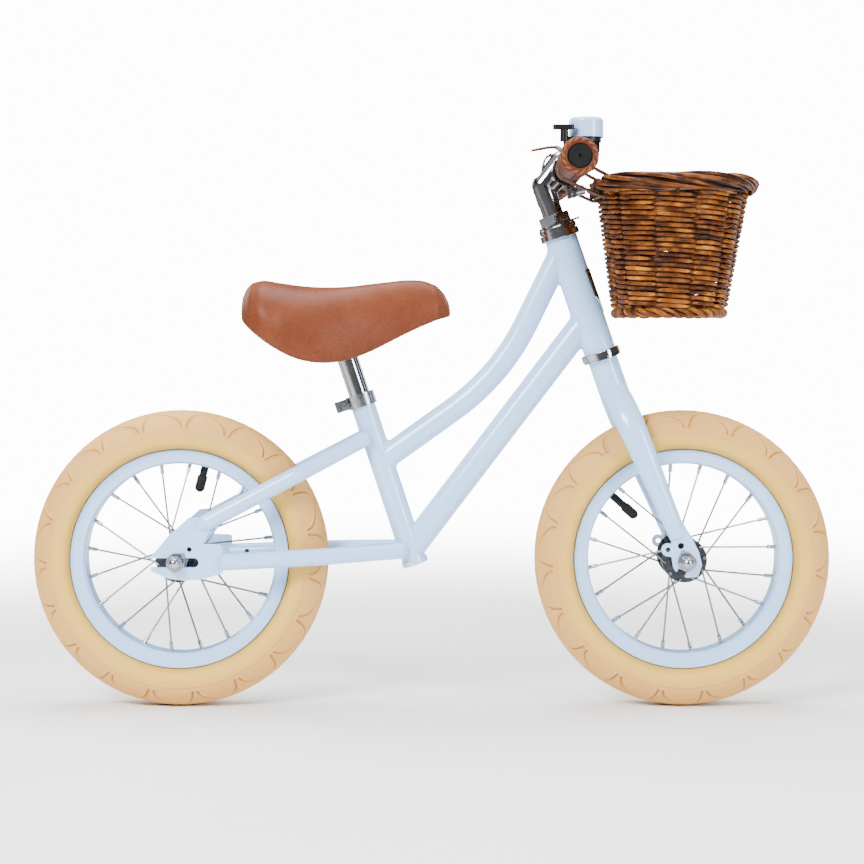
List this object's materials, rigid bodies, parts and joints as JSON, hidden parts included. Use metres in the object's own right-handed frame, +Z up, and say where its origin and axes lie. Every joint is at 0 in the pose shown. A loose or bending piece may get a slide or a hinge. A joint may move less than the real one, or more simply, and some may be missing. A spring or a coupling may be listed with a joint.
{
  "type": "balance bike",
  "caption": "Child's pedal-free balance bike: curved steel frame, spoked wheels with cream tyres, padded saddle, threaded headset, bell and front wicker basket.",
  "frame": {"origin": "on the ground under the middle of the wheelbase, on the centre plane", "axes": "+X forward, +Y to the rider's left, +Z up"},
  "size_m": [0.8364, 0.4, 0.6098],
  "materials": {
    "paint": "glossy pale blue enamel",
    "bell_paint": "glossy pale blue enamel",
    "chrome": "polished plating",
    "steel": "zinc-plated steel",
    "hub_metal": "dark plated steel",
    "cream_tyre": "matt cream rubber",
    "black_rubber": "matt black rubber",
    "black_plastic": "satin black",
    "brown_leather": "grained and stitched",
    "wicker": "stained woven willow"
  },
  "bodies": {
    "frame": {"head_tube": "paint", "top_tube": "paint", "down_tube": "paint", "seat_tube": "paint", "seat_stays": "paint", "chain_stays": "paint", "rear_dropouts": "paint", "head_badge": "chrome", "upper_headset_cup": "chrome", "lower_headset_cup": "chrome", "headset_balls": "steel", "seat_clamp": "chrome", "seat_clamp_bolt": "steel", "rear_axle": "steel", "rear_axle_nuts": "steel", "rear_tab_washers": "steel", "rear_cones": "steel"},
    "fork": {"steerer_tube": "steel", "fork_legs": "paint", "fork_dropouts": "paint", "crown_race": "chrome", "adjusting_race": "chrome", "headset_washer": "chrome", "headset_locknut": "chrome", "front_axle": "steel", "front_axle_nuts": "steel", "front_tab_washers": "steel", "front_cones": "steel"},
    "cockpit": {"stem": "chrome", "stem_bolts": "steel", "stem_wedge": "steel", "handlebar": "chrome", "grips": "brown_leather", "grip_plugs": "black_plastic", "bell_base": "black_plastic", "bell_dome": "bell_paint", "basket": "wicker", "basket_straps": "brown_leather", "strap_buckles": "chrome"},
    "bell_trigger": {"bell_lever": "black_plastic"},
    "seat": {"seat_post": "chrome", "saddle_base": "black_plastic", "saddle_pad": "brown_leather", "saddle_clamp": "steel"},
    "front_wheel": {"front_tyre": "cream_tyre", "front_inner_tube": "black_rubber", "front_valve_cap": "black_rubber", "front_rim": "paint", "front_hub": "hub_metal", "front_hub_balls": "steel", "front_spokes": "steel", "front_nipples": "steel"},
    "rear_wheel": {"rear_tyre": "cream_tyre", "rear_inner_tube": "black_rubber", "rear_valve_cap": "black_rubber", "rear_rim": "paint", "rear_hub": "hub_metal", "rear_hub_balls": "steel", "rear_spokes": "steel", "rear_nipples": "steel"}
  },
  "joints": [
    {"name": "steering", "type": "hinge", "parent": "frame", "child": "fork", "pos_m": [0.1363, 0, 0.491], "axis": [-0.3256, 0, 0.9455], "range_deg": [-60, 60]},
    {"name": "stem_height", "type": "slide", "parent": "fork", "child": "cockpit", "axis": [-0.3256, 0, 0.9455], "range_m": [-0.005, 0.03]},
    {"name": "bell_lever_turn", "type": "hinge", "parent": "cockpit", "child": "bell_trigger", "pos_m": [0.133, -0.104, 0.5955], "axis": [0, 0, 1], "range_deg": [-25, 0], "stiffness_Nm_per_rad": 0.02},
    {"name": "seat_height", "type": "slide", "parent": "frame", "child": "seat", "axis": [-0.3141, 0, 0.9494], "range_m": [-0.03, 0.03]},
    {"name": "front_wheel_spin", "type": "hinge", "parent": "fork", "child": "front_wheel", "pos_m": [0.2632, 0, 0.155], "axis": [0, 1, 0], "continuous": true},
    {"name": "rear_wheel_spin", "type": "hinge", "parent": "frame", "child": "rear_wheel", "pos_m": [-0.2632, 0, 0.155], "axis": [0, 1, 0], "continuous": true}
  ]
}
